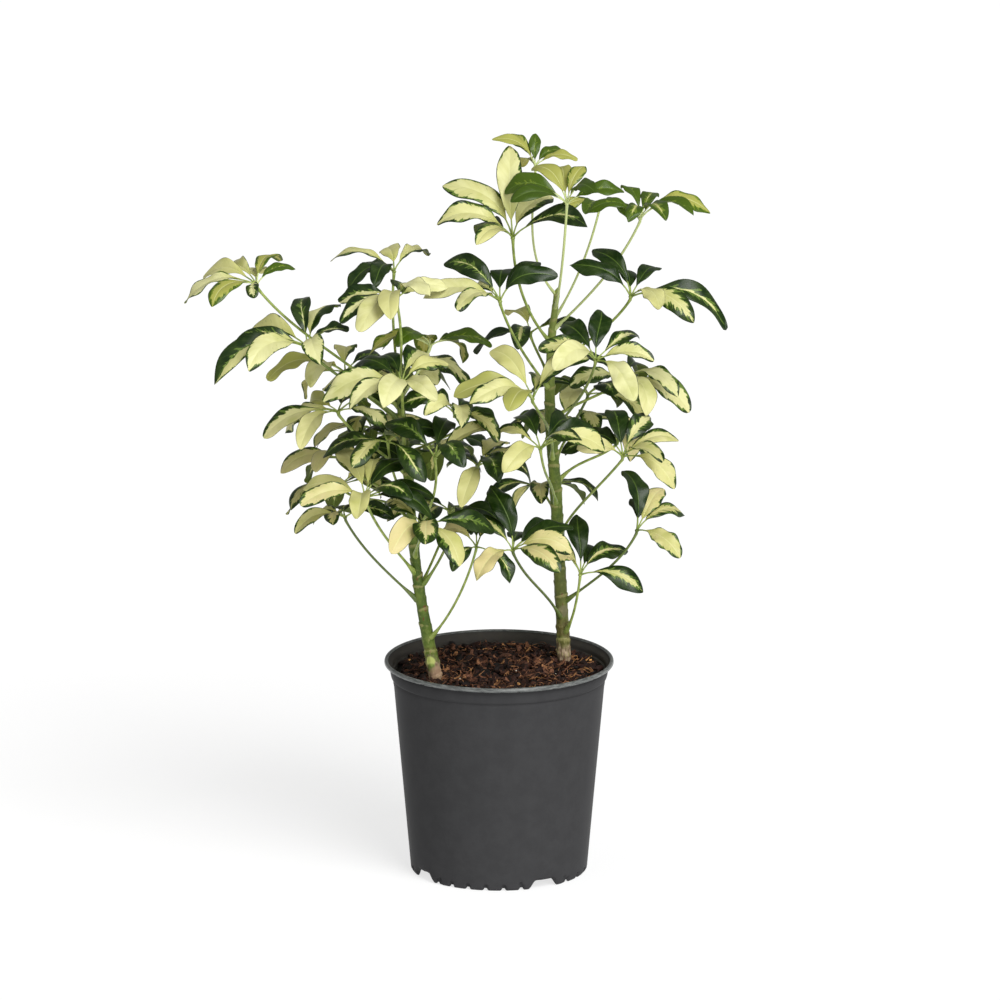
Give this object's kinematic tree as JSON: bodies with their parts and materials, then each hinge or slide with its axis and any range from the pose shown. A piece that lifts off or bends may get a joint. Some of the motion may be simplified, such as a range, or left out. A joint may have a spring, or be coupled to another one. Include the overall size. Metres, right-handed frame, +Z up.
{
  "type": "potted umbrella plant",
  "caption": "Variegated dwarf umbrella plant in a round nursery pot: bare stems in bark mulch carry whorled, hand-shaped leaves on long stalks.",
  "frame": {"origin": "middle of the pot's base, on the surface it stands on", "axes": "+Z up along the pot's axis; -Y is the front, the side the picture shows; +X to the right of it"},
  "size_m": [0.556, 0.3776, 0.7683],
  "materials": {
    "pot": "matt charcoal moulded plastic with a greyer, scuffed rim",
    "soil": "coarse dark brown bark and coir mulch",
    "stem": "grey-brown bark with leaf scars at the base, turning green towards the tip",
    "leaf": "glossy, thick leaflets, dark green with ragged cream-yellow centres or halves"
  },
  "bodies": {
    "root": {"pot": "pot", "soil": "soil", "stem_left": "stem", "stem_right": "stem", "leaf_left_01": "leaf", "leaf_left_02": "leaf", "leaf_left_03": "leaf", "leaf_left_04": "leaf", "leaf_left_05": "leaf", "leaf_left_06": "leaf", "leaf_left_07": "leaf", "leaf_left_08": "leaf", "leaf_left_09": "leaf", "leaf_left_10": "leaf", "leaf_left_11": "leaf", "leaf_left_12": "leaf", "leaf_left_13": "leaf", "leaf_left_14": "leaf", "leaf_left_15": "leaf", "leaf_left_16": "leaf", "leaf_left_17": "leaf", "leaf_left_18": "leaf", "leaf_left_19": "leaf", "leaf_left_20": "leaf", "leaf_left_21": "leaf", "leaf_left_22": "leaf", "leaf_right_01": "leaf", "leaf_right_02": "leaf", "leaf_right_03": "leaf", "leaf_right_04": "leaf", "leaf_right_05": "leaf", "leaf_right_06": "leaf", "leaf_right_07": "leaf", "leaf_right_08": "leaf", "leaf_right_09": "leaf", "leaf_right_10": "leaf", "leaf_right_11": "leaf", "leaf_right_12": "leaf", "leaf_right_13": "leaf", "leaf_right_14": "leaf", "leaf_right_15": "leaf", "leaf_right_16": "leaf", "leaf_right_17": "leaf", "leaf_right_18": "leaf", "leaf_right_19": "leaf", "leaf_right_20": "leaf"}
  },
  "joints": []
}
